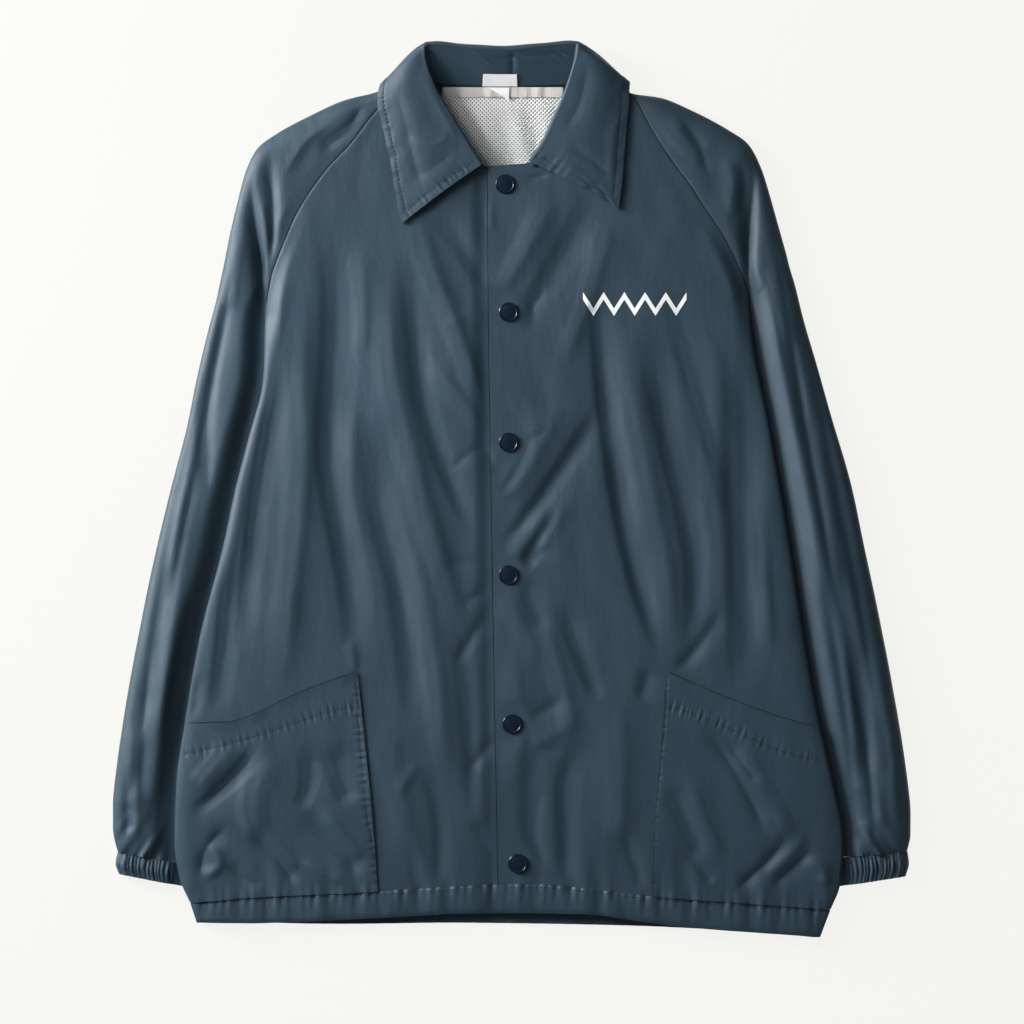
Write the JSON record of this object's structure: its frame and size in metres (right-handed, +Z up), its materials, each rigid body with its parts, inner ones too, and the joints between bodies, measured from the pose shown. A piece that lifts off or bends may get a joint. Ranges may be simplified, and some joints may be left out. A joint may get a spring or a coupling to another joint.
{
  "type": "windbreaker",
  "caption": "Light coach windbreaker laid flat, with a turned-down collar, snap front, raglan sleeves, slanted patch pockets, drawcord hem and elastic cuffs.",
  "frame": {"origin": "on the surface it lies on, under the middle of its box", "axes": "+X to the wearer's left, +Y towards the collar, +Z up from the surface, out of the jacket's front"},
  "size_m": [0.6877, 0.7703, 0.022],
  "materials": {
    "shell": "steel navy nylon taffeta, semi-gloss",
    "lining": "pale grey mesh",
    "tape": "pale grey-beige twill tape",
    "label": "white woven label, blank",
    "snap": "dark navy glossy"
  },
  "bodies": {
    "root": {"back": "shell", "front_right": "shell", "front_left": "shell", "sleeve_right": "shell", "sleeve_left": "shell", "collar": "shell", "pocket_right": "shell", "pocket_left": "shell", "hem_front_right": "shell", "hem_front_left": "shell", "hem_back": "shell", "cuff_right": "shell", "cuff_left": "shell", "lining_back": "lining", "neck_tape": "tape", "label": "label", "label_tab": "label", "snap_1": "snap", "snap_2": "snap", "snap_3": "snap", "snap_4": "snap", "snap_5": "snap", "snap_6": "snap"}
  },
  "joints": []
}
